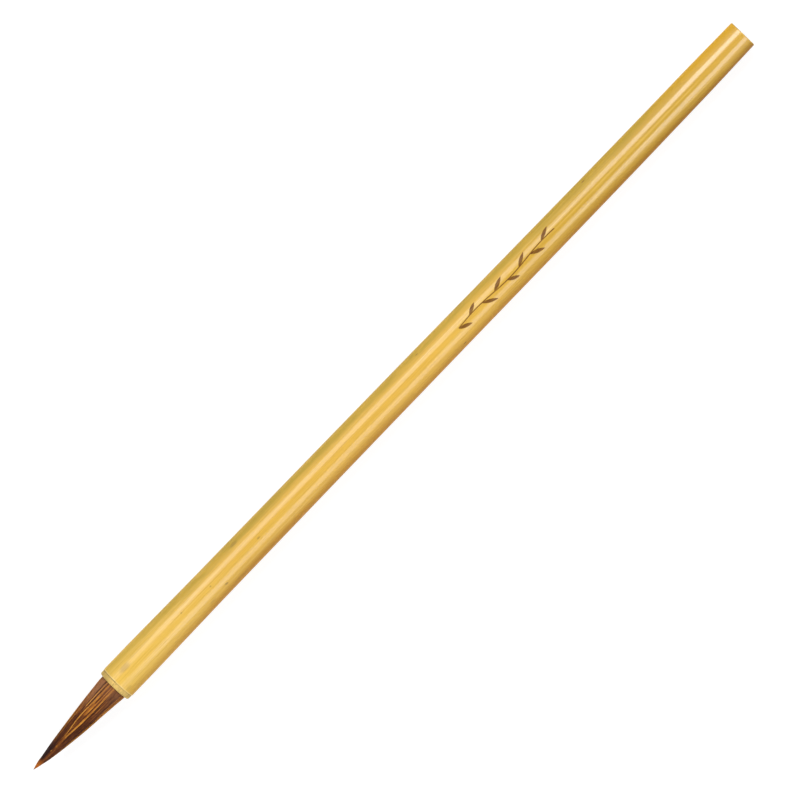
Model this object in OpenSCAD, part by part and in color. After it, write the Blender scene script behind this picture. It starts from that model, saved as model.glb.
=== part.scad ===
// Chinese calligraphy brush: a bamboo handle that holds a pointed tuft of layered hair.
// It lies along X, with its middle at the origin and the tip of its tuft towards -X.
// Distances called "a" run along the brush from the tip of the tuft.

/* [Handle] */
// Length of the bamboo handle, from its lip to its top end
handle_l = 222; // [120:1:360]
// Radius of the seat above the score line, the thickest part of the handle
seat_r = 4.75; // [4.3:0.05:7]
// Length of the seat, which a cap slides on to
seat_l = 8; // [2:0.5:20]
// Radius where the flare above the seat ends
shank_r = 4.53; // [3.6:0.01:7]
// Length of the flare, from the seat up
flare_l = 24.6; // [5:0.1:60]
// Radius where the slimmer head of the handle begins
neck_r = 4.09; // [2.5:0.01:7]
// Length of the head, up to the top end
head_l = 16; // [3:0.5:40]
// Radius of the top end
top_r = 3.95; // [2.5:0.01:7]
// Rounding of the top end's edge
top_edge = 0.25; // [0.1:0.05:0.8]
// Radius of the natural hollow of the bamboo
hollow_r = 1.3; // [0.5:0.05:2]

/* [Lip and socket] */
// Length of the bare rim, from the lip to the score line
rim_l = 1.4; // [0.8:0.1:4]
// How far the bare rim lies under the skin, at the score line
rim_step = 0.08; // [0.02:0.01:0.2]
// How much further the rim draws in towards the lip
rim_draft = 0.05; // [0.01:0.01:0.2]
// Rounding of the rim's outer edge
rim_edge = 0.35; // [0.1:0.05:0.6]
// Width of the score line where the skin starts
score_w = 0.16; // [0.06:0.02:0.4]
// Depth of the score line under the rim
score_depth = 0.06; // [0.02:0.01:0.2]
// Space between the bound root and the drilled end of the socket
socket_gap = 0.7; // [0.1:0.1:10]
// Slope of the socket's drilled end, measured from square
drill_slope = 31; // [10:1:60]
// Bevel inside the mouth of the socket
mouth_bevel = 0.12; // [0.04:0.02:0.3]

/* [Tuft] */
// Length of hair outside the lip
tuft_l = 28; // [24:0.5:60]
// Radius of the tuft at its widest
tuft_r = 3.72; // [2.8:0.01:4.1]
// How far outside the lip the tuft reaches that radius
swell_out = 1.5; // [0.5:0.1:4]
// Fullness of the tuft: lower is a rounder belly, 1 is a straight cone
fullness = 0.69; // [0.5:0.01:1]
// Length of the bound root inside the socket
root_l = 11.5; // [9:0.1:20]
// Thickness of the cover hair at the lip
cover_t = 0.65; // [0.5:0.05:1]
// Distance of the cover hair's end from the tip
cover_end_a = 3; // [1:0.1:6]
// Thickness of the lining hair at the lip
lining_t = 0.9; // [0.3:0.05:1.5]
// Gap between the end of the lining hair and the bend of the point
lining_clear = 0.6; // [0.3:0.1:4]

/* [Binding] */
// Radius of the binding thread
thread_r = 0.18; // [0.1:0.01:0.2]
// Pitch of its turns
thread_pitch = 0.3; // [0.2:0.01:0.35]
// Number of turns
thread_turns = 9; // [3:1:12]
// Distance of the last turn from the end of the root
tie_back = 3.2; // [1:0.1:4]
// How far the thread bites into the hair
thread_bite = 0.05; // [0.02:0.01:0.09]
// Thickness of the glue film round the root
glue_t = 0.13; // [0.13:0.01:0.3]
// Thickness of the root resin
resin_t = 0.8; // [0.3:0.1:1.4]

/* [Bends] */
// Distance of the belly's bend outside the lip
belly_bend_out = 2; // [2:0.1:6]
// Largest bend of the belly to each side, in degrees
belly_angle = 25; // [5:1:30]
// Distance of the point's bend from the tip
point_bend_a = 13; // [8:0.5:16]
// Largest bend of the point to each side, in degrees
point_angle = 40; // [5:1:40]
// Clearance between the two sides of a bend
bend_clear = 0.12; // [0.08:0.01:0.2]
// How far a bend's knuckle lies under the surface of the tuft
knuckle_inset = 0.05; // [0:0.01:0.1]
// How far the knuckle's round ends stand past its round side
knuckle_crown = 0.12; // [0.05:0.01:0.12]

/* [Hidden] */
$fn = 96;

overall_l = tuft_l + handle_l;
cut_over = 1;
reach = 2 * overall_l;

rim_r = seat_r - rim_step;
lip_r = rim_r - rim_draft;
rim_round_r = lip_r + rim_draft * rim_edge / (rim_l - score_w);
top_round_r = top_r + (neck_r - top_r) * top_edge / head_l;
score_a = tuft_l + rim_l;
seat_end_a = score_a + seat_l;
flare_end_a = seat_end_a + flare_l;
neck_a = overall_l - head_l;
socket_r = tuft_r + glue_t;
drill_l = (socket_r - hollow_r) * tan(drill_slope);

swell_a = tuft_l - swell_out;
root_end_a = tuft_l + root_l;
resin_end_a = root_end_a + resin_t;
socket_end_a = resin_end_a + socket_gap;

tie_r = tuft_r - 2 * thread_r + thread_bite;
tie_slope = tuft_r - tie_r;
tie_end_a = root_end_a - tie_back;
tie_start_a = tie_end_a - (thread_turns - 1) * thread_pitch - 2 * thread_r;

belly_bend_a = tuft_l - belly_bend_out;
belly_knuckle_r = outline(belly_bend_a) - knuckle_inset;
belly_gap = belly_knuckle_r * sin(belly_angle / 2);
point_knuckle_r = outline(point_bend_a) - knuckle_inset;
point_gap = point_knuckle_r * sin(point_angle / 2);
lining_end_a = point_bend_a + point_knuckle_r + bend_clear + lining_clear;
glue_start_a = belly_bend_a + belly_knuckle_r + knuckle_crown + bend_clear;

tip_steps = 6;
tip_crowding = 1.6;
hair_steps = 6;

// Outside radius of the tuft at a distance from its tip, and of the two inner layers.
function outline(a) = a < swell_a ? tuft_r * pow(a / swell_a, fullness) : tuft_r;
function grown(a, start) = a < start ? 0 : a > tuft_l ? 1 : (a - start) / (tuft_l - start);
function lining_edge(a) = outline(a) - cover_t * grown(a, cover_end_a);
function core_edge(a) = lining_edge(a) - lining_t * grown(a, lining_end_a);

// Distances at which an edge gets a point.
function stretch(from, to, steps) = [for (i = [1:steps]) from + (to - from) * i / steps];
function turned(list) = [for (i = [len(list) - 1:-1:0]) list[i]];
past_lining = concat(stretch(lining_end_a, swell_a, hair_steps), [tuft_l, root_end_a]);
past_cover = concat(stretch(cover_end_a, lining_end_a, hair_steps), past_lining);
past_tip = concat([for (i = [1:tip_steps]) cover_end_a * pow(i / tip_steps, tip_crowding)], past_cover);

// Places a shape that stands on its Z axis along the brush.
module along_brush() translate([-overall_l / 2, 0, 0]) rotate([0, 90, 0]) children();
module turned_solid() along_brush() rotate_extrude() children();
module at(a) translate([a - overall_l / 2, 0, 0]) children();

// Everything on the tip's side of a square cut.
module tipward(a) at(a) translate([-reach, -reach / 2, -reach / 2]) cube(reach);

// Round about a bend's upright axis, with slightly crowned ends.
module knuckle(a, r, crown) at(a) intersection() {
    cylinder(r = r, h = 2 * (r + crown), center = true);
    sphere(r = r + crown);
}
module belly_knuckle(grow = 0) knuckle(belly_bend_a, belly_knuckle_r + grow, knuckle_crown);
module point_knuckle(grow = 0) knuckle(point_bend_a, point_knuckle_r + grow, knuckle_crown);

// The three lengths that each layer of hair is divided into where the tuft bends.
module root_length() difference() {
    children();
    tipward(belly_bend_a + belly_gap);
    belly_knuckle(bend_clear);
}
module belly_length() difference() {
    intersection() {
        children();
        union() {
            tipward(belly_bend_a);
            belly_knuckle();
        }
    }
    tipward(point_bend_a + point_gap);
    point_knuckle(bend_clear);
}
module point_length() intersection() {
    children();
    union() {
        tipward(point_bend_a);
        point_knuckle();
    }
}

// Outlines in half section: X is the radius and Y the distance from the tip.
// What a corner loses when it is rounded, where r is the radius at which the round part starts.
module corner_waste(r, a, size, upper) translate([r - size, a]) mirror([0, upper ? 0 : 1])
    translate([0, -size]) difference() {
        square(size + cut_over);
        circle(r = size);
    }

module handle_section() difference() {
    polygon([[0, tuft_l], [lip_r, tuft_l], [rim_r, score_a - score_w], [rim_r - score_depth, score_a],
        [seat_r, score_a], [seat_r, seat_end_a], [shank_r, flare_end_a], [neck_r, neck_a],
        [top_r, overall_l], [0, overall_l]]);
    translate([0, tuft_l - cut_over]) square([socket_r, socket_end_a - tuft_l + cut_over]);
    polygon([[0, socket_end_a], [socket_r, socket_end_a], [hollow_r, socket_end_a + drill_l],
        [0, socket_end_a + drill_l]]);
    translate([0, socket_end_a]) square([hollow_r, overall_l - socket_end_a + cut_over]);
    polygon([[socket_r - mouth_bevel, tuft_l - mouth_bevel], [socket_r + 2 * mouth_bevel, tuft_l - mouth_bevel],
        [socket_r, tuft_l + mouth_bevel], [socket_r - mouth_bevel, tuft_l + mouth_bevel]]);
    corner_waste(rim_round_r, tuft_l, rim_edge, false);
    corner_waste(top_round_r, overall_l, top_edge, true);
}

module winding_section() for (turn = [0:thread_turns - 1])
    translate([tie_r - thread_bite + thread_r, tie_start_a + thread_r + turn * thread_pitch])
        circle(r = thread_r, $fn = 32);

module core_section() polygon(concat([[0, 0]], [for (a = past_tip) [core_edge(a), a]], [[0, root_end_a]]));

module lining_section() polygon(concat([[lining_edge(lining_end_a), lining_end_a]],
    [for (a = past_lining) [lining_edge(a), a]], turned([for (a = past_lining) [core_edge(a), a]])));

module cover_section() difference() {
    polygon(concat([[outline(cover_end_a), cover_end_a]],
        [for (a = past_cover) [outline(a), a]], turned([for (a = past_cover) [lining_edge(a), a]])));
    polygon([[tuft_r + cut_over, tie_start_a - tie_slope - cut_over], [tie_r, tie_start_a],
        [tie_r, tie_end_a], [tuft_r + cut_over, tie_end_a + tie_slope + cut_over]]);
    winding_section();
}

module bamboo_handle() color("goldenrod") turned_solid() handle_section();

module socket_glue() color("wheat") turned_solid()
    translate([tuft_r, glue_start_a]) square([glue_t, resin_end_a - glue_start_a]);

module root_resin() color("darkorange") turned_solid()
    translate([0, root_end_a]) square([tuft_r, resin_t]);

module binding_thread() color("ivory") turned_solid() winding_section();

module core_hair() color("chocolate") turned_solid() core_section();
module lining_hair() color("sienna") turned_solid() lining_section();
module cover_hair() color("saddlebrown") turned_solid() cover_section();

module core_hair_root() root_length() core_hair();
module lining_hair_root() root_length() lining_hair();
module cover_hair_root() root_length() cover_hair();
module core_hair_belly() belly_length() core_hair();
module lining_hair_belly() belly_length() lining_hair();
module cover_hair_belly() belly_length() cover_hair();
module core_hair_point() point_length() core_hair();
module cover_hair_point() point_length() cover_hair();

bamboo_handle();
socket_glue();
root_resin();
binding_thread();
core_hair_root();
lining_hair_root();
cover_hair_root();
core_hair_belly();
lining_hair_belly();
cover_hair_belly();
core_hair_point();
cover_hair_point();
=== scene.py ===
import math
import random

import bpy
from mathutils import Matrix, Vector, noise


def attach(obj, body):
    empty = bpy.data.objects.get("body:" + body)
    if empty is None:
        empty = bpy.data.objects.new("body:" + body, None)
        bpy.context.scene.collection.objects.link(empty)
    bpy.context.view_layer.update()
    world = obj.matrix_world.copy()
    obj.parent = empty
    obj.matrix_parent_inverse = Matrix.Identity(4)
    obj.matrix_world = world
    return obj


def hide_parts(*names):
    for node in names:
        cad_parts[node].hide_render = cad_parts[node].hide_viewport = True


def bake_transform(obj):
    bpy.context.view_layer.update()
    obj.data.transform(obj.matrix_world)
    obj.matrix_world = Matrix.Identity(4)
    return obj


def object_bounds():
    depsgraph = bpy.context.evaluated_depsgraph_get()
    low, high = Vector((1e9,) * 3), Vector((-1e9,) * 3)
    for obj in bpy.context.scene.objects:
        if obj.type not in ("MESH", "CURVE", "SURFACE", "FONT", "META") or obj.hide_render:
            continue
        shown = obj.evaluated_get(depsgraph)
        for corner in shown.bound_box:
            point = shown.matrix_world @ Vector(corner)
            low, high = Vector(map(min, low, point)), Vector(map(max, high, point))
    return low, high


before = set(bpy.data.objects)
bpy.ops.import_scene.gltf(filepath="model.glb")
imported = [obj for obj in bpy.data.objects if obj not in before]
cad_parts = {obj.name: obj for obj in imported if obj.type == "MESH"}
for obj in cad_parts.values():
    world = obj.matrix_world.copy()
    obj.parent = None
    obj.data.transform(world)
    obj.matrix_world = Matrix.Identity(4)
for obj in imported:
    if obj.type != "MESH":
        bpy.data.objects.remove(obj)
cadLow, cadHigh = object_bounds()
mm = 0.001
weldDistance = 0.002 * mm
random.seed(7)

# The camera hangs high over the brush on a long lens, and is turned so that the brush lies aslant
cameraView = {
    "place": (0.12561, 0.00011, 2.39671), "turn": (-2.1536, 2.0088, -46.1288), "lens": 441.322,
    "clipEnd": 100,
}
cameraTurn = [math.radians(a) for a in cameraView["turn"]]
bpy.ops.object.camera_add(location=cameraView["place"], rotation=cameraTurn)
camera = bpy.context.object
camera.data.lens = cameraView["lens"]
camera.data.clip_end = cameraView["clipEnd"]
bpy.context.scene.camera = camera
bpy.context.scene.view_settings.view_transform = "Standard"
print("camera ready")


# Small helpers for the modelling
def deselectAll():
    if bpy.context.object and bpy.context.object.mode != "OBJECT":
        bpy.ops.object.mode_set(mode="OBJECT")
    bpy.ops.object.select_all(action="DESELECT")


def pick(piece):
    deselectAll()
    piece.select_set(True)
    bpy.context.view_layer.objects.active = piece


def smoothly(value, low, high):
    # eases from 0 at low to 1 at high
    part = min(1, max(0, (value - low) / (high - low)))
    return part * part * (3 - 2 * part)


def aroundAxis(x, angle, r):
    # x is in metres, the angle in degrees from the top towards +Y, and r in millimetres from the axis
    turn = math.radians(angle)
    return x, r * mm * math.sin(turn), r * mm * math.cos(turn)


def noiseAt(place, fineness):
    return noise.noise(Vector([part * often for part, often in zip(place, fineness)]))


def turnedShell(name, outline, steps, closed=False):
    # the outline is drawn as a row of extruded points over the axis, then spun about it
    deselectAll()
    x, r = outline[0]
    bpy.ops.mesh.primitive_plane_add(size=mm, location=(x * mm, 0, r * mm))
    bpy.ops.object.mode_set(mode="EDIT")
    bpy.ops.mesh.merge(type="CENTER")
    row = outline + outline[:1] if closed else outline
    for (x, r), (nextX, nextR) in zip(row, row[1:]):
        step = ((nextX - x) * mm, 0, (nextR - r) * mm)
        bpy.ops.mesh.extrude_region_move(TRANSFORM_OT_translate={"value": step})
    bpy.ops.mesh.select_all(action="SELECT")
    bpy.ops.mesh.spin(steps=steps, angle=2 * math.pi, center=(0, 0, 0), axis=(1, 0, 0))
    bpy.ops.mesh.select_all(action="SELECT")
    bpy.ops.mesh.remove_doubles(threshold=weldDistance)
    bpy.ops.mesh.normals_make_consistent(inside=False)
    bpy.ops.object.mode_set(mode="OBJECT")
    piece = bpy.context.object
    piece.name = piece.data.name = name
    bpy.ops.object.transform_apply(location=True, rotation=True, scale=True)
    return piece


# Small helpers for the materials
mixSockets = {"amount": 0, "first": 6, "second": 7, "result": 2}    # of a Mix node that mixes colours
noiseMiddle = (0.3, 0.7)                                    # where most values of a noise lie
spotCore = 0.35                                             # the part of a spot that is at full strength


def newMaterial(name, **sockets):
    material = bpy.data.materials.new(name)
    material.use_nodes = True
    shader = material.node_tree.nodes["Principled BSDF"]
    for socket, value in sockets.items():
        shader.inputs[socket.replace("_", " ")].default_value = value
    return material, material.node_tree, shader


def feed(tree, socket, value):
    if isinstance(value, bpy.types.NodeSocket):
        tree.links.new(value, socket)
    else:
        socket.default_value = value


def add(tree, kind, settings=None, **inputs):
    # an input goes by its name, or by an i and its number
    made = tree.nodes.new("ShaderNode" + kind)
    for key, value in (settings or {}).items():
        setattr(made, key, value)
    for key, value in inputs.items():
        numbered = key[0] == "i" and key[1:].isdigit()
        feed(tree, made.inputs[int(key[1:]) if numbered else key.replace("_", " ")], value)
    return made


def reckon(tree, operation, *values):
    made = add(tree, "Math", {"operation": operation})
    for socket, value in zip(made.inputs, values):
        feed(tree, socket, value)
    return made.outputs[0]


def times(tree, product, *factors):
    for factor in factors:
        product = reckon(tree, "MULTIPLY", product, factor)
    return product


def between(tree, value, low, high, outLow=0.0, outHigh=1.0, smooth=True):
    made = add(tree, "MapRange", {"interpolation_type": "SMOOTHSTEP" if smooth else "LINEAR"},
               Value=value, From_Min=low, From_Max=high, To_Min=outLow, To_Max=outHigh)
    return made.outputs["Result"]


def blendColor(tree, amount, first, second):
    made = add(tree, "Mix", {"data_type": "RGBA"})
    feed(tree, made.inputs[mixSockets["amount"]], amount)
    for end, color in (("first", first), ("second", second)):
        feed(tree, made.inputs[mixSockets[end]], (*color, 1) if isinstance(color, tuple) else color)
    return made.outputs[mixSockets["result"]]


def stretchedNoise(tree, place, scale, detail=3, roughness=0.5, offset=(0, 0, 0)):
    mapped = add(tree, "Mapping", Vector=place, Scale=scale, Location=offset)
    return add(tree, "TexNoise", Vector=mapped.outputs["Vector"], Scale=1.0, Detail=detail,
               Roughness=roughness).outputs["Fac"]


def stretchedCells(tree, place, scale):
    mapped = add(tree, "Mapping", Vector=place, Scale=scale)
    return add(tree, "TexVoronoi", {"feature": "F1"}, Vector=mapped.outputs["Vector"], Scale=1.0).outputs


def objectPlace(tree):
    return add(tree, "TexCoord").outputs["Object"]


def axesOf(tree, place):
    split = add(tree, "SeparateXYZ", Vector=place)
    return split.outputs["X"], split.outputs["Y"], split.outputs["Z"]


def spot(tree, place, centre, size):
    # 1 at the centre, 0 outside; size is the half length of the spot along X, Y and Z
    shifted = add(tree, "VectorMath", {"operation": "SUBTRACT"}, i0=place, i1=centre).outputs[0]
    scaled = add(tree, "VectorMath", {"operation": "DIVIDE"}, i0=shifted, i1=size).outputs[0]
    length = add(tree, "VectorMath", {"operation": "LENGTH"}, i0=scaled).outputs["Value"]
    return between(tree, length, spotCore, 1.0, 1.0, 0.0)


def finishSurface(tree, shader, color, height, strength, distance):
    tree.links.new(color, shader.inputs["Base Color"])
    relief = add(tree, "Bump", Strength=strength, Distance=distance, Height=height)
    tree.links.new(relief.outputs["Normal"], shader.inputs["Normal"])


# Bamboo: a glossy yellow skin, and bare fibrous wood where it is cut
bamboo = {
    "lip": (0.85, 0.545, 0.10), "golden": (0.765, 0.46, 0.066), "deepGold": (0.60, 0.36, 0.032),
    "pale": (0.84, 0.585, 0.15), "olive": (0.50, 0.33, 0.035), "topFlank": (0.70, 0.385, 0.022),
    "amber": (0.50, 0.21, 0.012), "topAmber": (0.33, 0.125, 0.006), "stripe": (0.50, 0.27, 0.02),
    "smoke": (0.27, 0.15, 0.04), "fleck": (0.22, 0.10, 0.03), "cut": (0.82, 0.56, 0.165),
    "cutShade": (0.60, 0.41, 0.115), "cutFibre": (0.40, 0.25, 0.07), "pith": (0.80, 0.66, 0.36),
    "score": (0.15, 0.09, 0.035), "scoreEdge": (0.90, 0.66, 0.24),
}
# how often each pattern repeats along X, Y and Z, per metre
grain = {
    "wander": (28, 160, 160), "fibre": (90, 5200, 5200), "broadFibre": (30, 1300, 1300),
    "mottle": (90, 520, 520), "flecks": (120, 330, 330), "cutFibre": (500, 3800, 3800),
    "vessels": (150, 2600, 2600),
    "outerVessels": (150, 5200, 5200), "blotches": 1900.0, "fineHair": (420, 9000, 9000),
    "hairStreaks": (110, 3600, 3600), "slowWave": (45, 170, 170), "fineWave": (30, 2600, 2600),
    "tornFibre": (500, 2400, 2400), "endGrain": (3000, 3000, 3000), "packedHair": (60, 900, 900),
}
# the stretches of X on which the bamboo changes, in metres
bambooStretch = {
    "lipToShank": (-0.095, -0.05), "shankToHead": (0.02, 0.072), "headToTop": (0.1, 0.122),
    "flanksDeepen": (-0.095, -0.06), "flankGilded": (0.085, 0.118), "amberDarkens": (0.05, 0.11),
    "scoreEdge": (-0.09556, -0.09515), "scoreStart": (-0.09582, -0.09572), "scoreEnd": (-0.09556, -0.0955),
    "waxLeavesFlanks": (0.04, 0.11), "waxFromLip": (-0.098, -0.07), "waxAtHead": (0.05, 0.12),
}
# the angles from the top over which the skin changes, in radians, positive towards +Y
bambooAngle = {"olive": (0.32, 0.85), "amber": (-1.2, -0.5), "waver": 0.12, "waxed": (0.5, 0.95)}
# the distances from the axis, and then across it, over which the cut wood changes, in metres
bambooDepth = {
    "crowded": (0.0024, 0.0034), "pith": (0.0013, 0.00155), "shaded": (0.0018, 0.0044), "shadeAside": 0.0011,
    "grooveShade": (-0.0015, 0.0015),
}
# marks that the photograph shows on the skin: place along X, angle from the top, half length, half width and
# strength
seenMarks = (
    (-91.5, 16.5, 2.4, 1.1, 0.36), (-94.4, -36, 1.4, 0.7, 0.3), (-88.2, 33, 0.4, 0.3, 0.5),
    (-91.4, -63, 0.4, 0.3, 0.7), (-72.2, 8, 0.4, 0.3, 0.6), (-62.5, 0, 0.35, 0.3, 0.5),
    (-64.8, -41, 1.5, 0.4, 0.45), (-59.3, -32, 0.8, 0.4, 0.7), (-55.3, -54, 3.4, 0.5, 0.5),
    (-51.2, 45, 1.6, 0.8, 0.4), (-45.8, -3, 0.7, 0.35, 0.5), (122.9, 27, 0.3, 0.3, 0.8),
)
markRadius = 4.5
# a plain twig burnt into the skin, in millimetres
twig = {
    "foot": 25.0, "length": 34.0, "spacing": 4.2, "leafLength": 4.3, "shortestLeaf": 0.8, "leafWidth": 0.47,
    "leafAngle": 27, "stem": 0.13, "sway": 0.35, "swayLength": 24.0, "radius": 4.35, "softEdge": 0.05,
    "fadeLength": 0.3, "color": (0.13, 0.036, 0.010), "strength": (0.97, 0.72), "depth": -3.0,
    "waxLeft": 0.15,
}


def burntTwig(tree, x, around):
    # 1 on the twig: a swaying stem with one slender leaf for each stretch of it, to both sides in turn
    t = twig
    soft = t["softEdge"]
    along = reckon(tree, "MULTIPLY_ADD", x, 1 / mm, -t["foot"])
    sway = reckon(tree, "SINE", times(tree, along, 2 * math.pi / t["swayLength"]))
    across = reckon(tree, "SUBTRACT", times(tree, around, t["radius"]), times(tree, sway, t["sway"]))
    stretches = reckon(tree, "DIVIDE", along, t["spacing"])
    leaf = reckon(tree, "FLOOR", stretches)
    side = reckon(tree, "MULTIPLY_ADD", reckon(tree, "MODULO", leaf, 2.0), 2.0, -1.0)
    fromJoint = times(tree, reckon(tree, "SUBTRACT", stretches, leaf), t["spacing"])
    aside = times(tree, across, side)
    cosine, sine = math.cos(math.radians(t["leafAngle"])), math.sin(math.radians(t["leafAngle"]))
    alongLeaf = reckon(tree, "ADD", times(tree, fromJoint, cosine), times(tree, aside, sine))
    acrossLeaf = reckon(tree, "SUBTRACT", times(tree, aside, cosine), times(tree, fromJoint, sine))
    chance = add(tree, "TexWhiteNoise", {"noise_dimensions": "1D"}, W=leaf).outputs["Value"]
    leafLength = between(tree, chance, 0.0, 1.0, t["shortestLeaf"] * t["leafLength"], t["leafLength"])
    part = reckon(tree, "DIVIDE", alongLeaf, leafLength)
    swell = times(tree, part, reckon(tree, "SUBTRACT", 1.0, part), 4 * t["leafWidth"])
    pastLeaf = reckon(tree, "SUBTRACT", reckon(tree, "ABSOLUTE", acrossLeaf), swell)
    onLeaf = between(tree, pastLeaf, -soft, soft, 1.0, 0.0)
    onStem = between(tree, reckon(tree, "ABSOLUTE", across), t["stem"] - soft, t["stem"] + soft, 1.0, 0.0)
    within = times(tree, between(tree, along, 0.0, t["fadeLength"]),
                   between(tree, along, t["length"] - t["fadeLength"], t["length"], 1.0, 0.0))
    return times(tree, reckon(tree, "MAXIMUM", onLeaf, onStem), within)


def tintAndShadeFlanks(tree, color, x, around, wander, mottle):
    # darker olive towards +Y and amber towards -Y, both paler near the lip: partly the bamboo's own tint,
    # partly painted shade on the flanks
    angle, waver = bambooAngle, bambooAngle["waver"]
    bent = reckon(tree, "ADD", around, between(tree, wander, *noiseMiddle, -waver, waver, False))
    awayFromLip = between(tree, x, *bambooStretch["flanksDeepen"], 0.55, 1.0)
    flank = times(tree, between(tree, bent, *angle["olive"]), awayFromLip)
    greenish = times(tree, flank, between(tree, mottle, 0.36, 0.62, 0.35, 0.85))
    color = blendColor(tree, greenish, color, bamboo["olive"])
    gilded = times(tree, flank, between(tree, x, *bambooStretch["flankGilded"]))
    color = blendColor(tree, gilded, color, bamboo["topFlank"])
    amberAndShade = times(tree, between(tree, bent, *angle["amber"], 0.8, 0.0), awayFromLip)
    darker = between(tree, x, *bambooStretch["amberDarkens"])
    return blendColor(tree, amberAndShade, color, blendColor(tree, darker, bamboo["amber"], bamboo["topAmber"]))


def colorBlemishes(tree, color, place, mottle):
    # flecks scattered at random, and the marks that the photograph shows
    flecks = stretchedCells(tree, place, grain["flecks"])
    fleckHere = times(tree, between(tree, flecks["Distance"], 0.03, 0.1, 1, 0),
                      between(tree, flecks["Color"], 0.62, 0.66))
    color = blendColor(tree, times(tree, fleckHere, 0.7), color, bamboo["fleck"])
    marks = 0.0
    for along, angle, halfLength, halfWidth, strength in seenMarks:
        here = spot(tree, place, aroundAxis(along * mm, angle, markRadius),
                    (halfLength * mm, halfWidth * mm, halfWidth * mm))
        marks = reckon(tree, "MAXIMUM", marks, times(tree, here, strength))
    marks = times(tree, marks, between(tree, mottle, 0.3, 0.6, 0.4, 1.0))
    return blendColor(tree, marks, color, bamboo["smoke"])


def waxOnSkin(tree, x, around, burnt):
    # thinner on the flanks, at the lip and on the twig
    left = between(tree, x, *bambooStretch["waxLeavesFlanks"], 0.3, 0.12)
    onFlanks = between(tree, reckon(tree, "ABSOLUTE", around), *bambooAngle["waxed"], 1.0, left)
    wax = reckon(tree, "ADD", between(tree, x, *bambooStretch["waxFromLip"], 0.2, 0.36),
                 between(tree, x, *bambooStretch["waxAtHead"], 0.0, 0.14))
    onTwig = between(tree, burnt, 0.0, 1.0, 1.0, twig["waxLeft"])
    return times(tree, wax, times(tree, onFlanks, onTwig))


def bambooSkin():
    material, tree, shader = newMaterial("bambooSkin", Roughness=0.5, Coat_Roughness=0.16, Coat_IOR=2.2,
                                         Coat_Tint=(1, 0.95, 0.82, 1), Specular_IOR_Level=0.04)
    place = objectPlace(tree)
    x, y, z = axesOf(tree, place)
    around = reckon(tree, "ARCTAN2", y, z)                      # 0 on top, positive towards +Y
    wander = stretchedNoise(tree, place, grain["wander"])
    fibre = stretchedNoise(tree, place, grain["fibre"], 4, 0.6)
    broadFibre = stretchedNoise(tree, place, grain["broadFibre"], 3, 0.55, (3, 1, 2))
    mottle = stretchedNoise(tree, place, grain["mottle"], 5, 0.62, (1, 5, 3))
    stretch = bambooStretch
    # paler at the lip and deeper gold towards the head: partly the bamboo's own tone, partly painted light
    color = blendColor(tree, between(tree, x, *stretch["lipToShank"]), bamboo["lip"], bamboo["golden"])
    color = blendColor(tree, between(tree, x, *stretch["shankToHead"]), color, bamboo["deepGold"])
    # paler again at the very top end: painted light, where the lamps' light falls off
    color = blendColor(tree, between(tree, x, *stretch["headToTop"], 0.0, 0.5), color, bamboo["golden"])
    color = blendColor(tree, between(tree, broadFibre, 0.48, 0.72, 0, 0.5), color, bamboo["pale"])
    color = blendColor(tree, between(tree, fibre, 0.4, 0.75, 0, 0.4), color, bamboo["stripe"])
    # the flanks: their own olive and amber tint, and painted shade
    color = tintAndShadeFlanks(tree, color, x, around, wander, mottle)
    # a pale line just past the score: painted highlight on the score's edge
    color = blendColor(tree, between(tree, x, *stretch["scoreEdge"], 0.85, 0.0), color, bamboo["scoreEdge"])
    color = colorBlemishes(tree, color, place, mottle)
    burnt = burntTwig(tree, x, around)
    unevenly = times(tree, burnt, between(tree, fibre, *noiseMiddle, *twig["strength"]))
    color = blendColor(tree, unevenly, color, twig["color"])
    tree.links.new(waxOnSkin(tree, x, around, burnt), shader.inputs["Coat Weight"])
    furrow = reckon(tree, "ADD", times(tree, broadFibre, 1.5), times(tree, burnt, twig["depth"]))
    finishSurface(tree, shader, color, reckon(tree, "ADD", fibre, furrow), 0.12, 0.00003)
    return material


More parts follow.
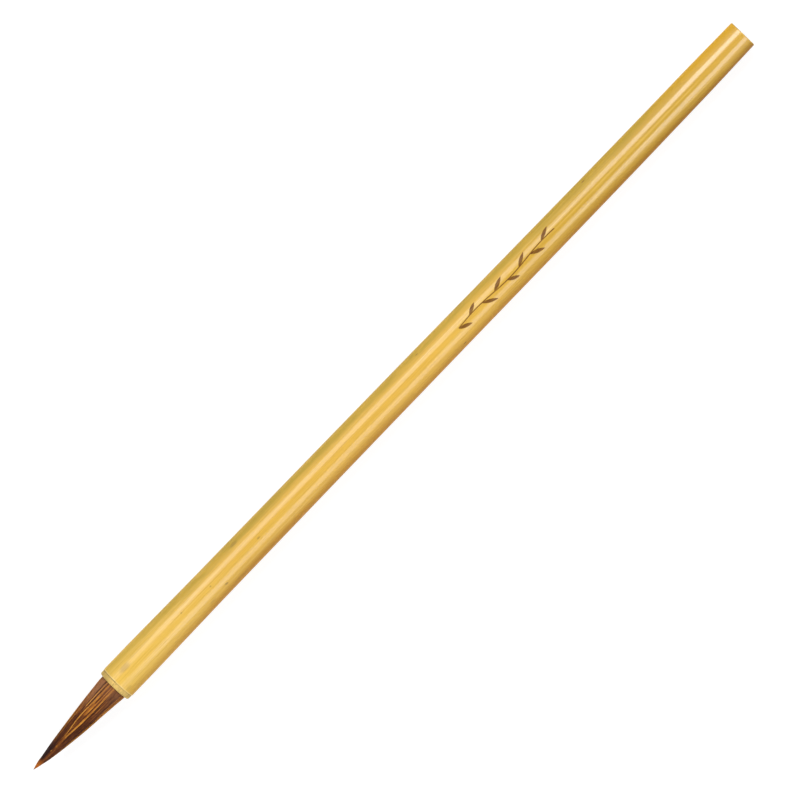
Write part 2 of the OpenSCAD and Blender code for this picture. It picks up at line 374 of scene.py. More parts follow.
def bambooCut():
    material, tree, shader = newMaterial("bambooCut", Roughness=0.7, Specular_IOR_Level=0.25)
    place = objectPlace(tree)
    x, y, z = axesOf(tree, place)
    fibre = stretchedNoise(tree, place, grain["cutFibre"], 4, 0.65)
    vessels = stretchedCells(tree, place, grain["vessels"])["Distance"]
    outerVessels = stretchedCells(tree, place, grain["outerVessels"])["Distance"]
    fromAxis = reckon(tree, "SQRT", reckon(tree, "ADD", times(tree, y, y), times(tree, z, z)))
    crowded = between(tree, fromAxis, *bambooDepth["crowded"])  # small vessels, close together, near the skin
    aside = reckon(tree, "ABSOLUTE", reckon(tree, "ADD", y, bambooDepth["shadeAside"]))
    color = blendColor(tree, between(tree, aside, *bambooDepth["shaded"]), bamboo["cut"], bamboo["cutShade"])
    blotches = add(tree, "TexNoise", Vector=place, Scale=grain["blotches"], Detail=3.0,
                   Roughness=0.6).outputs["Fac"]
    color = blendColor(tree, between(tree, blotches, 0.42, 0.66, 0, 0.5), color, bamboo["cutShade"])
    color = blendColor(tree, between(tree, fibre, 0.45, 0.75, 0, 0.7), color, bamboo["cutFibre"])
    dots = reckon(tree, "MAXIMUM", between(tree, vessels, 0.12, 0.3, 0.6, 0.0),
                  times(tree, between(tree, outerVessels, 0.15, 0.4, 0.75, 0.0), crowded))
    color = blendColor(tree, dots, color, bamboo["cutFibre"])
    color = blendColor(tree, between(tree, fromAxis, *bambooDepth["pith"], 0.75, 0.0), color, bamboo["pith"])
    # the score's groove: painted shade, darker towards +Y and uneven
    inScore = times(tree, between(tree, x, *bambooStretch["scoreStart"]),
                    between(tree, x, *bambooStretch["scoreEnd"], 1, 0))
    grooveShade = times(tree, between(tree, blotches, 0.35, 0.6, 0.75, 0.35),
                 between(tree, y, *bambooDepth["grooveShade"], 0.5, 1.2))
    color = blendColor(tree, times(tree, inScore, grooveShade), color, bamboo["score"])
    finishSurface(tree, shader, color, fibre, 0.5, 0.0001)
    return material


# Handle: lengths and radii in millimetres, with X from the lip to the top end
handle = {
    "lip": -97.0, "top": 125.0, "rimRadius": 4.67, "lipRadius": 4.62, "rimLength": 1.4, "rimEdge": 0.35,
    "rimSwell": ((0.7, 0.03), (0.4, 0.015)), "scoreWidth": 0.16, "scoreFloor": 0.03, "scoreDepth": 0.06,
    "scoreEdge": 0.04, "seatRadius": 4.75, "seatLength": 8.0, "seatRows": (0.5, 2, 4, 6), "flareLength": 24.6,
    "flareRows": 2.0, "shankRadius": 4.53, "shankRows": 2.2, "neckRadius": 4.06, "headLength": 16.0,
    "headRows": 1.6, "topRadius": 3.87, "topEdge": 0.25, "endRings": (3.3, 2.9, 2.5, 2.1, 1.7),
    "hollowRadius": 1.3, "hollowBevel": 0.08, "hollowMouth": 2, "socketRadius": 3.85, "socketEnd": -84.0,
    "socketSlope": 1.532, "mouthBevel": 0.12, "around": 160, "waver": 0.018, "fibreRelief": 0.002,
    "cutRelief": 0.02, "bow": 0.26, "bowEarly": 1.25, "skinOver": 3.6, "skinFaceOver": 3.75, "rimOver": 4.2,
    "skinEnd": 124.85, "endFace": 124.9, "smoothAngle": 35,
}


def quarterRound(end, toMiddle, radius, edge, steps):
    # from the side, at this radius, over the edge to the flat end
    turns = [math.radians(90 * i / steps) for i in range(steps + 1)]
    return [(end + toMiddle * edge * (1 - math.sin(a)), radius - edge * (1 - math.cos(a))) for a in turns]


def handleOutline():
    h = handle
    scoreX, seatEnd = h["lip"] + h["rimLength"], h["lip"] + h["rimLength"] + h["seatLength"]
    flareEnd, neck = seatEnd + h["flareLength"], h["top"] - h["headLength"]
    points = [(h["lip"] + h["mouthBevel"], h["socketRadius"]),
              (h["lip"], h["socketRadius"] + h["mouthBevel"])]
    points += sorted(quarterRound(h["lip"], 1, h["lipRadius"], h["rimEdge"], 5))
    points += [(scoreX - before, h["rimRadius"] - under) for before, under in h["rimSwell"]]
    points += [(scoreX - h["scoreWidth"], h["rimRadius"]),
               (scoreX - h["scoreFloor"], h["rimRadius"] - h["scoreDepth"]),
               (scoreX, h["seatRadius"] - h["scoreEdge"]), (scoreX + h["scoreEdge"], h["seatRadius"])]
    points += [(scoreX + after, h["seatRadius"]) for after in h["seatRows"]] + [(seatEnd, h["seatRadius"])]
    for start, end, radius, lastRadius, spacing in (
            (seatEnd, flareEnd, h["seatRadius"], h["shankRadius"], h["flareRows"]),
            (flareEnd, neck, h["shankRadius"], h["neckRadius"], h["shankRows"]),
            (neck, h["top"] - h["topEdge"], h["neckRadius"], h["topRadius"], h["headRows"])):
        steps = round((end - start) / spacing)
        points += [(start + (end - start) * i / steps, radius + (lastRadius - radius) * i / steps)
                   for i in range(1, steps + 1)]
    points += quarterRound(h["top"], -1, h["topRadius"], h["topEdge"], 4)[1:]
    points += [(h["top"], r) for r in h["endRings"]]
    points += [(x, h["hollowRadius"]) for x in (
        h["top"] - h["hollowBevel"], h["top"] - h["hollowMouth"], h["socketEnd"] + h["socketSlope"])]
    points += [(h["socketEnd"], h["socketRadius"])]
    return points


def handleBow(x):
    # grown bamboo is never quite straight; x is in metres
    along = max(0.0, (x / mm - handle["lip"]) / (handle["top"] - handle["lip"]))
    return -handle["bow"] * mm * math.sin(math.pi * along ** 2 / handle["bowEarly"]) ** 2


def roughenHandle(piece, rimEnd):
    h = handle
    for v in piece.data.vertices:
        x, r = v.co.x, math.hypot(v.co.y, v.co.z)
        outward = Vector((0, v.co.y / r, v.co.z / r))
        if r > h["skinOver"] * mm and x > rimEnd:               # the skin waves a little, as it grew
            slow, fine = noiseAt(v.co, grain["slowWave"]), noiseAt(v.co, grain["fineWave"])
            v.co += outward * (slow * h["waver"] - h["waver"] * 0.5 + fine * h["fibreRelief"]) * mm
        elif r > h["rimOver"] * mm:                             # torn fibres of the bare rim
            v.co += outward * (noiseAt(v.co, grain["tornFibre"]) - 0.5) * h["cutRelief"] * mm
        elif x > h["endFace"] * mm:                             # end grain of the top end
            v.co.x += (noiseAt(v.co, grain["endGrain"]) - 0.5) * h["cutRelief"] * mm


def buildHandle():
    piece = turnedShell("bambooHandle", handleOutline(), handle["around"], closed=True)
    rimEnd = (handle["lip"] + handle["rimLength"]) * mm
    roughenHandle(piece, rimEnd)
    piece.data.materials.append(bambooSkin())
    piece.data.materials.append(bambooCut())
    for face in piece.data.polygons:
        r = math.hypot(face.center.y, face.center.z)
        onSkin = r > handle["skinFaceOver"] * mm and rimEnd < face.center.x < handle["skinEnd"] * mm
        face.material_index = 0 if onSkin else 1
    for v in piece.data.vertices:
        v.co.y += handleBow(v.co.x)
    pick(piece)
    bpy.ops.object.shade_smooth_by_angle(angle=math.radians(handle["smoothAngle"]))
    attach(piece, "handle")
    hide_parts("bamboo_handle")


buildHandle()
print("handle done")

# What holds the root in the socket: the CAD solids keep their shape and get their finish
inside = {
    "glue": (0.55, 0.36, 0.12), "glueDark": (0.30, 0.16, 0.04), "cloud": 700.0, "bubbles": 1400.0,
    "resin": (0.36, 0.11, 0.012), "resinDark": (0.12, 0.03, 0.004), "swirl": 420.0, "cracks": 900.0,
    "cotton": (0.74, 0.69, 0.58), "cottonShade": (0.42, 0.36, 0.27), "fuzz": 5200.0,
    "strandsPerMetre": 9000, "strandSlant": 0.7, "threadRadius": 3.36,
}


def driedGlue():
    material, tree, shader = newMaterial("driedGlue", Roughness=0.3, Specular_IOR_Level=0.5)
    place = objectPlace(tree)
    cloud = add(tree, "TexNoise", Vector=place, Scale=inside["cloud"], Detail=4.0).outputs["Fac"]
    bubbles = add(tree, "TexVoronoi", {"feature": "F1"}, Vector=place,
                  Scale=inside["bubbles"]).outputs["Distance"]
    color = blendColor(tree, between(tree, cloud, 0.35, 0.65), inside["glue"], inside["glueDark"])
    color = blendColor(tree, between(tree, bubbles, 0.1, 0.2, 0.5, 0.0), color, inside["cotton"])
    finishSurface(tree, shader, color, bubbles, 0.4, 0.00006)
    return material


def amberResin():
    material, tree, shader = newMaterial("amberResin", Roughness=0.12, Specular_IOR_Level=0.5,
                                         Coat_Weight=0.4)
    place = objectPlace(tree)
    swirl = add(tree, "TexNoise", Vector=place, Scale=inside["swirl"], Detail=3.0,
                Distortion=1.2).outputs["Fac"]
    cracks = add(tree, "TexVoronoi", {"feature": "DISTANCE_TO_EDGE"}, Vector=place,
                 Scale=inside["cracks"]).outputs["Distance"]
    color = blendColor(tree, between(tree, swirl, 0.35, 0.65), inside["resin"], inside["resinDark"])
    color = blendColor(tree, between(tree, cracks, 0.0, 0.05, 0.35, 0.0), color, inside["glue"])
    finishSurface(tree, shader, color, swirl, 0.3, 0.00005)
    return material


def woundCotton():
    # the strands of the thread run aslant to its turns
    material, tree, shader = newMaterial("woundCotton", Roughness=0.85, Specular_IOR_Level=0.2,
                                         Sheen_Weight=0.3)
    place = objectPlace(tree)
    x, y, z = axesOf(tree, place)
    around = times(tree, reckon(tree, "ARCTAN2", y, z), inside["threadRadius"] * mm)
    aslant = times(tree, reckon(tree, "ADD", x, times(tree, around, inside["strandSlant"])),
                   2 * math.pi * inside["strandsPerMetre"])
    strands = reckon(tree, "MULTIPLY_ADD", reckon(tree, "SINE", aslant), 0.5, 0.5)
    fuzz = add(tree, "TexNoise", Vector=place, Scale=inside["fuzz"], Detail=3.0).outputs["Fac"]
    color = blendColor(tree, strands, inside["cottonShade"], inside["cotton"])
    color = blendColor(tree, between(tree, fuzz, 0.45, 0.7, 0.0, 0.4), color, inside["cottonShade"])
    finishSurface(tree, shader, color, reckon(tree, "ADD", strands, fuzz), 0.5, 0.00004)
    return material


def dress(node, material):
    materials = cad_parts[node].data.materials
    if materials:
        materials[0] = material
    else:
        materials.append(material)


def dressInside():
    dress("socket_glue", driedGlue())
    dress("root_resin", amberResin())
    dress("binding_thread", woundCotton())


# Tuft: a dark body of packed hair, dressed with locks of tapered hairs, cut in two where its bends divide it.
# Its places are in millimetres from the tip
tuft = {
    "tip": -125.0, "length": 28.0, "radius": 3.72, "widestAt": 26.5, "fullness": 0.69, "rootEnd": 39.5,
    "tieStart": 33.5, "tieEnd": 36.34, "tieRadius": 3.36, "tieSlope": 0.35, "cutAt": 19.5, "around": 120,
    "ridge": 0.035, "rings": 45, "ringsToTip": 1.35, "bodyRadius": 0.93, "lipRadius": 0.95, "lipStart": 0.3,
    "lipEnd": 1.2, "tipGap": 0.02, "tone": 0.12, "toneSpread": 0.1, "tipBlunt": 0.40,
    "flatSide": 0.055, "flatFrom": (14, 22), "flatTo": (25.5, 29), "tipLean": 0.11, "leanTo": (1.8, 3.8),
    "bellyBlend": (-97.2, -101.0), "pointBlend": (-109.0, -115.0),
}
# how the hairs are combed: angles in degrees, lengths in millimetres
comb = {
    "locks": 84, "hairsPerLock": 6, "lockShift": 3, "lockTones": (0.2, 0.3, 0.38, 0.46, 0.54, 0.6, 0.76),
    "darkTo": 75, "palest": 0.46, "drift": 5, "driftBack": 0.2, "wave": (1, 4), "waveLength": (9, 17),
    "lockSpread": 2.2, "phaseSpread": 0.25,
    "under": 0.02, "underSpread": 0.03, "lastPlaces": (0.0, 0.2, 0.5, 1.2, 2.5, 5.0), "thick": (0.6, 1.15),
    "points": 28, "pointsToLip": 0.8, "hairRadius": 0.095, "tipHairRadius": 0.1, "slenderTo": 9,
    "slenderFrom": 0.4, "endRadius": 0.65, "intoSocket": (0.7, 1.4), "toneSpread": 0.06, "dive": 0.035,
    "diveLength": 1.6, "restTone": 0.3, "everywhere": (-3.0, 31.0), "hairsPerDegree": 3.4, "seenSpread": 0.36,
    "seenUnder": 0.007,
    "underStep": 0.01, "seenThick": (0.5, 1.0), "middleAt": 17.0, "frontAt": 8.0, "endsBefore": (1, 3),
    "toTipBelow": 9, "tipPlaces": (-0.5, -0.25, 0.1, 0.7),
    "fringe": 46, "fringeRadius": 0.032, "fringeAngle": (62, 118), "fringeDrift": 6, "fringeWave": (1, 5),
    "fringeWaveLength": (10, 20), "proud": (0.0, 0.018), "fringeInto": 0.9, "fringeTo": (0.4, 12),
    "fringeTone": (0.68, 0.98), "anyPhase": (0, 6.28),
}
# locks that the photograph shows: angle from the top (positive towards +Y) at the lip, the middle and the
# front, width in degrees, the stretch that its tone is seen on (from the tip, in mm), the tone, and how far
# under the surface it lies
seenLocks = (
    (17, 22, 2, 2.2, 11, 20.3, 0.98, 0), (17, 20, 6, 3, 18.6, 30, 0.84, 0),
    (15, 13, 4, 2.5, 19, 30, 0.74, 1), (-7, -12, -1.3, 3.4, 10, 19.4, 0.98, 0),
    (-7, -10.5, 4, 3.6, 17.6, 30, 0.82, 0), (-9, -10.5, 0, 3.4, 20, 24.5, 1.0, 0),
    (-4, -8, 2, 2.2, 10.5, 18, 0.8, 0), (7, 7, 1, 5, 12.5, 18.3, 0.42, 1),
    (6, 8, 4, 7, 17.5, 22.5, 0.68, 1), (7.5, 8, 4, 3, 22, 26.7, 0.3, 0), (2, 2, 2, 3, 18, 30, 0.66, 1),
    (28.5, 34, 26, 2.6, 19.5, 30, 0.9, 0), (29.5, 34.5, 26, 1.8, 22, 25.5, 1.0, 0),
    (22.5, 26, 20, 2.4, 20, 28, 0.12, 1), (34.5, 41, 34, 2.6, 18.5, 25.5, 0.14, 1),
    (37.5, 39.5, 34, 2.2, 23, 30, 0.08, 0), (30, 31, 28, 6, 9, 17.5, 0.26, 1),
    (44, 46, 44, 6, 9, 17, 0.3, 1), (40, 46, 38, 4, 17, 30, 0.56, 1), (46, 51, 46, 4, 16, 30, 0.48, 1),
    (53, 56, 52, 4, 12, 30, 0.6, 1), (60, 62, 60, 4, 12, 30, 0.5, 1), (68, 68, 66, 5, 12, 30, 0.58, 1),
    (76, 76, 76, 6, 12, 30, 0.6, 1), (-14, -18, -20, 6, 9, 25, 0.16, 1),
    (-14, -17, -18, 4, 24, 30, 0.36, 1), (-21, -25, -28, 5, 9, 30, 0.28, 1),
    (-25, -28, -28, 1.5, 19, 25, 0.55, 0), (-28, -31, -30, 3, 24.5, 27, 0.1, 0),
    (-31, -35, -38, 5, 8, 30, 0.26, 1), (-37, -41, -44, 3, 17, 30, 0.36, 1),
    (-43, -48, -50, 5, 8, 30, 0.2, 1), (-49, -54, -56, 4, 12, 30, 0.3, 1),
    (-55, -60, -60, 4, 19, 30, 0.66, 0), (-62, -65, -64, 3, 14, 30, 0.5, 1),
    (-68, -70, -68, 4, 14, 30, 0.72, 1), (-77, -76, -74, 5, 8, 30, 0.6, 1),
    (0, 0, -2, 7, 6.5, 11.5, 0.6, 0), (-6, -10, -14, 12, 2, 7, 0.5, 0), (20, 22, 30, 12, 3, 10, 0.14, 0),
    (45, 45, 52, 9, 4, 10, 0.28, 1), (-30, -33, -38, 10, 4, 11, 0.27, 1),
)
# two small painted glints near the point: from the tip, angle, half length, half width, strength
seenGlints = ((5.95, 8, 0.3, 0.15, 0.85), (7.7, 0, 0.5, 0.3, 0.3))
hair = {
    "tones": ((0.0, (0.020, 0.007, 0.005)), (0.22, (0.082, 0.025, 0.011)), (0.42, (0.17, 0.052, 0.015)),
              (0.60, (0.31, 0.097, 0.019)), (0.80, (0.54, 0.205, 0.028)), (1.0, (0.82, 0.37, 0.06))),
    "dustAndSheen": (0.45, 0.21, 0.10), "glint": (0.68, 0.27, 0.04), "tip": (0.56, 0.16, 0.02),
    "shade": (0.016, 0.009, 0.010), "shadeStrength": 0.8,
}
# the stretches of X on which the hair changes, in metres
hairStretch = {
    "evener": (-0.119, -0.103), "dustAndSheen": (-0.109, -0.099), "dustyAtLip": (-0.104, -0.0974),
    "shadeStart": (-0.1242, -0.1227), "shadeEnd": (-0.1190, -0.1160), "tip": (-0.1245, -0.1217),
}
# the stretches of Y on which the hair changes, in metres
hairSide = {"dustAndSheen": (0.0004, 0.0024), "farDustAndSheen": (-0.0033, -0.0026), "shaded": (-0.0001, 0.0004)}


def tuftRadius(a):
    # a is the distance from the tip in millimetres
    if a < tuft["widestAt"]:
        blunt = tuft["tipBlunt"]
        return tuft["radius"] * (max(a + blunt, 0) / (tuft["widestAt"] + blunt)) ** tuft["fullness"]
    return tuft["radius"]


def tuftX(a):
    return (tuft["tip"] + a) * mm


def hairMaterial():
    # its pattern keeps to the hairs when they bend, so it reads each point's place at rest
    material, tree, shader = newMaterial("brownHair", Roughness=0.5, Specular_IOR_Level=0.05)
    place = add(tree, "Attribute", {"attribute_name": "restPlace"}).outputs["Vector"]
    x, y, _ = axesOf(tree, place)
    tone = add(tree, "Attribute", {"attribute_name": "tone"}).outputs["Fac"]
    fine = stretchedNoise(tree, place, grain["fineHair"], 3, 0.6)
    streaks = stretchedNoise(tree, place, grain["hairStreaks"], 2, 0.5, (4, 1, 2))
    tone = reckon(tree, "ADD", tone, between(tree, fine, *noiseMiddle, -0.1, 0.1, False))
    tone = reckon(tree, "ADD", tone, between(tree, streaks, *noiseMiddle, -0.13, 0.13, False))
    ramp = add(tree, "ValToRGB", Fac=tone)
    stops = ramp.color_ramp.elements
    for i, (position, color) in enumerate(hair["tones"]):
        stop = stops[i] if i < 2 else stops.new(position)       # a new ramp has two stops
        stop.position, stop.color = position, (*color, 1)
    evener = between(tree, x, *hairStretch["evener"], 0.45, 0)
    color = blendColor(tree, evener, ramp.outputs["Color"], hair["tones"][1][1])
    # pale brown: painted sheen, mostly on the side towards +Y near the lip, and dust all round at the lip
    side = between(tree, y, *hairSide["dustAndSheen"], 0.14, 0.66)     # most on the side that lies towards +Y
    side = reckon(tree, "MAXIMUM", side, between(tree, y, *hairSide["farDustAndSheen"], 0.3, 0.14))
    dustAndSheen = times(tree, side, between(tree, x, *hairStretch["dustAndSheen"]))
    dustAndSheen = reckon(tree, "MAXIMUM", dustAndSheen, between(tree, x, *hairStretch["dustyAtLip"], 0.0, 0.38))
    dustAndSheen = times(tree, dustAndSheen, between(tree, tone, 0.08, 0.36, 0.4, 1.0))
    color = blendColor(tree, dustAndSheen, color, hair["dustAndSheen"])
    shaded = times(tree, between(tree, y, *hairSide["shaded"]),
                   times(tree, between(tree, x, *hairStretch["shadeStart"]),
                         between(tree, x, *hairStretch["shadeEnd"], 1, 0)))
    color = blendColor(tree, times(tree, shaded, hair["shadeStrength"]), color, hair["shade"])
    color = blendColor(tree, between(tree, x, *hairStretch["tip"], 0.95, 0), color, hair["tip"])
    for a, angle, halfLength, halfWidth, strength in seenGlints:
        here = spot(tree, place, aroundAxis(tuftX(a), angle, tuftRadius(a)),
                    (halfLength * mm, halfWidth * mm, 2 * halfWidth * mm))
        color = blendColor(tree, times(tree, here, strength), color, hair["glint"])
    finishSurface(tree, shader, color, fine, 0.4, 0.00005)
    return material


def settle(piece):
    # the tuft is a little flatter on the side towards -Y, and its very tip leans to the other side
    for v in piece.data.vertices:
        a = v.co.x / mm - tuft["tip"]
        flat = tuft["flatSide"] * smoothly(a, *tuft["flatFrom"]) * (1 - smoothly(a, *tuft["flatTo"]))
        if v.co.y < 0:
            v.co.y *= 1 - flat
        v.co.y += tuft["tipLean"] * mm * (1 - smoothly(a, *tuft["leanTo"]))


def setTone(piece, tones):
    layer = piece.data.attributes.new("tone", "FLOAT", "POINT")
    layer.data.foreach_set("value", tones)


def keepRestPlace(piece):
    layer = piece.data.attributes.new("restPlace", "FLOAT_VECTOR", "POINT")
    layer.data.foreach_set("vector", [part for v in piece.data.vertices for part in v.co])


def packedBody():
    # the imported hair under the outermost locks, from the tip to the end of the root inside the socket
    t = tuft
    outline = [(t["tip"] + t["tipGap"], 0.0)]
    for i in range(1, t["rings"] + 1):
        a = t["widestAt"] * (i / t["rings"]) ** t["ringsToTip"]
        outline.append((t["tip"] + a, tuftRadius(a) * t["bodyRadius"]))
    outline += [(t["tip"] + a, r) for a, r in (
        (t["length"] + t["lipStart"], t["radius"] * t["lipRadius"]), (t["length"] + t["lipEnd"], t["radius"]),
        (t["tieStart"] - t["tieSlope"], t["radius"]), (t["tieStart"], t["tieRadius"]),
        (t["tieEnd"], t["tieRadius"]), (t["tieEnd"] + t["tieSlope"], t["radius"]),
        (t["rootEnd"], t["radius"]), (t["rootEnd"], 0.0))]
    body = turnedShell("packedHair", outline, t["around"])
    for v in body.data.vertices:
        a, r = v.co.x / mm - t["tip"], math.hypot(v.co.y, v.co.z)
        if a < t["length"] and r > t["tipGap"] * mm:
            angle = math.atan2(v.co.y, v.co.z)
            # 17 broad ridges and 31 small ones, which wander a little along the tuft
            broad, small = math.sin(angle * 17 + 0.3 * math.sin(a * 0.4)), math.sin(angle * 31 + 1 + 0.2 * a)
            ridge = (broad + 0.6 * small) / 1.6
            v.co.yz = v.co.yz * (1 + t["ridge"] * ridge)
    setTone(body, [t["tone"] + t["toneSpread"] * noiseAt(v.co, grain["packedHair"])
                   for v in body.data.vertices])
    return body


def hairPath(angleAt, depthAt, first, last, radius):
    # points along one hair from the lip to the tip; its angle and depth depend on the distance from the tip
    path = []
    for i in range(comb["points"]):
        part = i / (comb["points"] - 1)
        a = first + (last - first) * part ** comb["pointsToLip"]
        slender = min(1, (max(0, a) + comb["slenderFrom"]) / comb["slenderTo"])
        thick = comb["tipHairRadius"] + (radius - comb["tipHairRadius"]) * slender
        thick *= comb["endRadius"] if i == comb["points"] - 1 else 1
        r = max(0.0, tuftRadius(a) * (1 - depthAt(a)) - thick)
        path.append((*aroundAxis(tuftX(a), angleAt(a), r), thick))
    return path


def wavyAngle(angle, drift, wave, phase, waveLength):
    def angleAt(a):
        out = max(0, 1 - a / tuft["length"])
        return angle + drift * out + wave * math.sin(2 * math.pi * a / waveLength + phase) * min(1, 3 * out)
    return angleAt


def seenAngle(lip, middle, front, off):
    # eases from each of the three angles to the next
    def angleAt(a):
        if a > comb["middleAt"]:
            return middle + (lip - middle) * smoothly(a, comb["middleAt"], tuft["length"]) + off
        return front + (middle - front) * smoothly(a, comb["frontAt"], comb["middleAt"]) + off
    return angleAt


def hairsFrom(name, paths, tones):
    curve = bpy.data.curves.new(name, "CURVE")
    curve.dimensions, curve.bevel_depth, curve.bevel_resolution = "3D", mm, 0
    for path in paths:
        spline = curve.splines.new("POLY")
        spline.points.add(len(path) - 1)
        for point, (x, y, z, thick) in zip(spline.points, path):
            point.co, point.radius = (x, y, z, 1), thick
    piece = bpy.data.objects.new(name, curve)
    bpy.context.scene.collection.objects.link(piece)
    pick(piece)
    bpy.ops.object.convert(target="MESH")
    piece = bpy.context.object
    perPoint = len(piece.data.vertices) // sum(len(path) for path in paths)
    setTone(piece, [tone for path in tones for tone in path for _ in range(perPoint)])
    bpy.ops.object.mode_set(mode="EDIT")
    bpy.ops.mesh.select_all(action="SELECT")
    bpy.ops.mesh.fill_holes(sides=4)                            # closes both ends of each hair
    bpy.ops.object.mode_set(mode="OBJECT")
    bpy.ops.object.shade_smooth()
    return piece


def combHair(angleAt, depth, last, radius, tone, seenOn=comb["everywhere"]):
    # one hair as its path and its tones; outside the stretch it is seen on it dives under the others
    def shown(a):
        appears = min(1, max(0, (a - seenOn[0]) / comb["diveLength"] + 0.5))
        return appears * min(1, max(0, (seenOn[1] - a) / comb["diveLength"] + 0.5))

    path = hairPath(angleAt, lambda a: depth + comb["dive"] * (1 - shown(a)),
                    tuft["length"] + random.uniform(*comb["intoSocket"]), last, radius)
    own, rest = min(1, max(0, tone + random.gauss(0, comb["toneSpread"]))), comb["restTone"]
    return path, [rest + (own - rest) * shown(x / mm - tuft["tip"]) for x, y, z, thick in path]


def locksAllRound():
    # a little under the locks that the photograph shows
    c = comb
    for i in range(c["locks"]):
        angle = 360 * i / c["locks"] + random.uniform(-c["lockShift"], c["lockShift"])
        facing = (angle + 180) % 360 - 180
        tone = random.choice(c["lockTones"])
        if abs(facing) < c["darkTo"]:
            tone = min(tone, c["palest"])
        drift, wave = random.uniform(-c["drift"], c["drift"]), random.uniform(*c["wave"])
        phase, waveLength = random.uniform(*c["anyPhase"]), random.uniform(*c["waveLength"])
        for _ in range(c["hairsPerLock"]):
            off = random.gauss(0, c["lockSpread"])
            curve = wavyAngle(facing + off, drift - off * c["driftBack"], wave,
                              phase + random.gauss(0, c["phaseSpread"]), waveLength)
            yield combHair(curve, c["under"] + abs(random.gauss(0, c["underSpread"])),
                           random.choice(c["lastPlaces"]),
                           c["hairRadius"] * random.uniform(*c["thick"]), tone)


def locksThatShow():
    c = comb
    for lip, middle, front, width, seenFrom, seenTo, tone, under in seenLocks:
        for _ in range(round(width * c["hairsPerDegree"])):
            curve = seenAngle(lip, middle, front, random.gauss(0, width * c["seenSpread"]))
            last = random.choice(c["tipPlaces"])
            if seenFrom >= c["toTipBelow"]:
                last = max(0.0, seenFrom - random.uniform(*c["endsBefore"]))
            yield combHair(curve, random.uniform(0, c["seenUnder"]) + c["underStep"] * under, last,
                           c["hairRadius"] * random.uniform(*c["seenThick"]), tone, (seenFrom, seenTo))


def fringeHairs():
    # thin pale hairs that stand a little proud, two in three of them on the flanks
    c = comb
    for i in range(c["fringe"]):
        if i % 3:
            angle = random.choice((-1, -1, 1)) * random.uniform(*c["fringeAngle"])
        else:
            angle = random.uniform(-180, 180)
        curve = wavyAngle(angle, random.uniform(-c["fringeDrift"], c["fringeDrift"]),
                          random.uniform(*c["fringeWave"]), random.uniform(*c["anyPhase"]),
                          random.uniform(*c["fringeWaveLength"]))
        proud = random.uniform(*c["proud"])
        path = hairPath(curve, lambda a: -proud, tuft["length"] + c["fringeInto"],
                        random.uniform(*c["fringeTo"]), c["fringeRadius"])
        path = [(x, y, z, min(thick, c["fringeRadius"])) for x, y, z, thick in path]
        yield path, [random.uniform(*c["fringeTone"])] * len(path)


def locksOfHair():
    hairs = [*locksAllRound(), *locksThatShow(), *fringeHairs()]
    return hairsFrom("hairLocks", [path for path, tones in hairs], [tones for path, tones in hairs])


# cuts it in two across its axis, into the belly and the point
def cutTuft(whole):
    # both halves follow the belly at the cut, so it never opens
    cut = tuftX(tuft["cutAt"])
    pick(whole)
    bpy.ops.object.duplicate()
    front = bpy.context.object
    for piece, name, keepTipSide in ((whole, "tuftBelly", False), (front, "tuftPoint", True)):
        pick(piece)
        bpy.ops.object.mode_set(mode="EDIT")
        bpy.ops.mesh.select_all(action="SELECT")
        bpy.ops.mesh.bisect(plane_co=(cut, 0, 0), plane_no=(1, 0, 0),
                            clear_outer=keepTipSide, clear_inner=not keepTipSide)
        bpy.ops.mesh.mark_sharp()                               # so that the cut doesn't bend the shading
        bpy.ops.mesh.fill_holes(sides=0)                        # closes each hair by itself
        bpy.ops.object.mode_set(mode="OBJECT")
        piece.name = piece.data.name = name
    return whole, front


def buildTuft():
    body, locks = packedBody(), locksOfHair()
    pick(body)
    locks.select_set(True)
    bpy.ops.object.join()
    whole = bpy.context.object
    whole.data.materials.clear()
    whole.data.materials.append(hairMaterial())
    pick(whole)
    bpy.ops.object.shade_smooth()
    settle(whole)
    belly, point = cutTuft(whole)
    for piece, bodies, (start, end), nodes in (
            (belly, ("handle", "belly"), tuft["bellyBlend"],
             ("cover_hair_root", "lining_hair_root", "core_hair_root", "cover_hair_belly",
              "lining_hair_belly", "core_hair_belly")),
            (point, ("belly", "point"), tuft["pointBlend"], ("cover_hair_point", "core_hair_point"))):
        keepRestPlace(piece)
        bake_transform(piece)
        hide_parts(*nodes)
        print(piece.name, len(piece.data.polygons), "faces")


buildTuft()
print("tuft done")
dressInside()
print("inside done")

# Floor, lamps and the white surroundings
studio = {
    "floorHeight": cadLow.z, "floorSize": 8, "skyLevel": 0.12, "lampWidth": 0.29, "lampSlant": -7,
    # side (1 is +Y), angle from upright, middle along X, length, power, distance
    "lamps": ((1, 33.9, 0.0, 1.0, 2.7, 0.55), (-1, 37.5, 0.0, 1.0, 2.3, 0.55),
              (1, 39.0, 0.14, 0.2, 0.42, 0.53), (-1, 37.5, 0.19, 0.2, 0.12, 0.53)),
    # the floor's own light, under the brush and far out
    "nearGlow": 0.82, "farGlow": 0.99, "glowGrows": (0.3, 1.6),
    # the sky as the gloss sees it: white all round, and grey overhead, between the lamps
    "white": 1.0, "ceiling": 0.45, "ceilingFrom": (0.45, 0.85),
}


def seenByCamera(tree):
    # 1 for what the camera sees, straight or in the gloss, and 0 for the light that falls on the brush
    path = add(tree, "LightPath")
    return reckon(tree, "MAXIMUM", path.outputs["Is Camera Ray"],
                  reckon(tree, "MAXIMUM", path.outputs["Is Glossy Ray"], path.outputs["Is Transmission Ray"]))


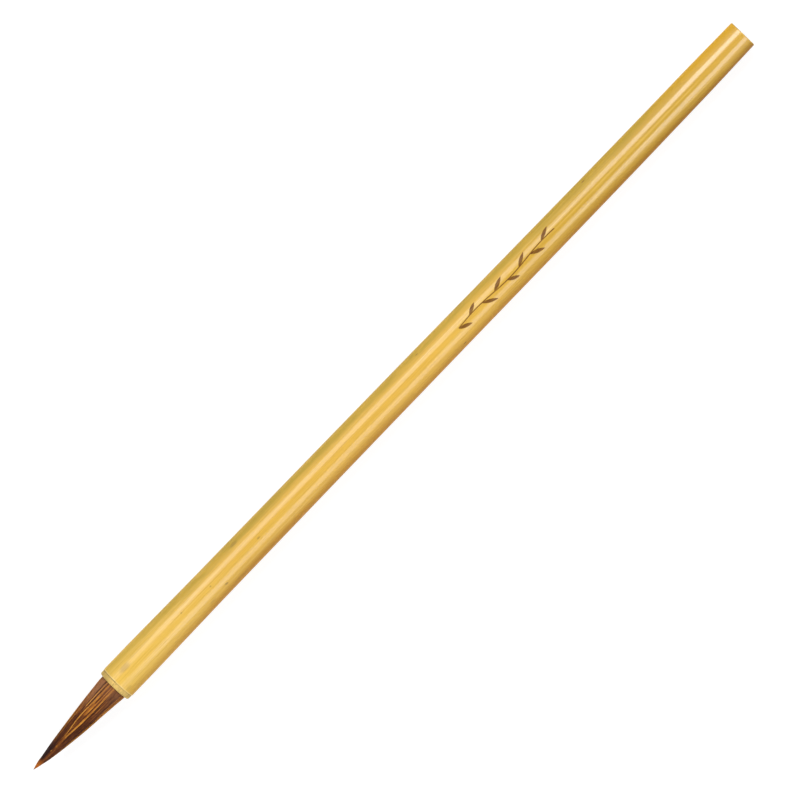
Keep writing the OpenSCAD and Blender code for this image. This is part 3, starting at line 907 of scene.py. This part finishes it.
def paleFloor():
    material, tree, shader = newMaterial("paleFloor", Base_Color=(0.8, 0.8, 0.8, 1), Roughness=0.9)
    farOut = add(tree, "VectorMath", {"operation": "LENGTH"}, i0=objectPlace(tree)).outputs["Value"]
    strength = between(tree, farOut, *studio["glowGrows"], studio["nearGlow"], studio["farGlow"])
    glow = add(tree, "Emission", Color=(1, 1, 1, 1), Strength=strength)
    faint = add(tree, "BsdfDiffuse", Color=(0.3, 0.3, 0.3, 1))
    lit = add(tree, "AddShader", i0=glow.outputs[0], i1=faint.outputs[0])
    mixed = add(tree, "MixShader", Fac=seenByCamera(tree), i1=shader.outputs[0], i2=lit.outputs[0])
    tree.links.new(mixed.outputs[0], tree.nodes["Material Output"].inputs["Surface"])
    return material


def hangLamps():
    slant = Matrix.Rotation(math.radians(studio["lampSlant"]), 4, "Z")
    for side, angle, middle, length, power, distance in studio["lamps"]:
        a = math.radians(angle) * side
        bpy.ops.object.light_add(type="AREA")
        lamp = bpy.context.object
        place = Matrix.Translation((middle, distance * math.sin(a), distance * math.cos(a)))
        lamp.matrix_world = slant @ place @ Matrix.Rotation(-a, 4, "X")
        lamp.data.shape = "RECTANGLE"
        lamp.data.size, lamp.data.size_y = length, studio["lampWidth"]
        lamp.data.energy = power
        lamp.visible_camera = False


def whiteSky():
    world = bpy.data.worlds.new("studio")
    world.use_nodes = True
    tree = world.node_tree
    sky = tree.nodes["Background"]
    sky.inputs["Color"].default_value, sky.inputs["Strength"].default_value = (1, 1, 1, 1), studio["skyLevel"]
    upward = add(tree, "SeparateXYZ", Vector=add(tree, "TexCoord").outputs["Generated"]).outputs["Z"]
    strength = between(tree, upward, *studio["ceilingFrom"], studio["white"], studio["ceiling"])
    white = add(tree, "Background", Color=(1, 1, 1, 1), Strength=strength)
    mixed = add(tree, "MixShader", Fac=seenByCamera(tree), i1=sky.outputs[0], i2=white.outputs[0])
    tree.links.new(mixed.outputs[0], tree.nodes["World Output"].inputs["Surface"])
    return world


def buildStudio():
    deselectAll()
    bpy.ops.mesh.primitive_plane_add(size=studio["floorSize"], location=(0, 0, studio["floorHeight"]))
    floor = bpy.context.object
    floor.name = "floor"
    floor.data.materials.append(paleFloor())
    hangLamps()
    bpy.context.scene.world = whiteSky()


buildStudio()
print("studio done")
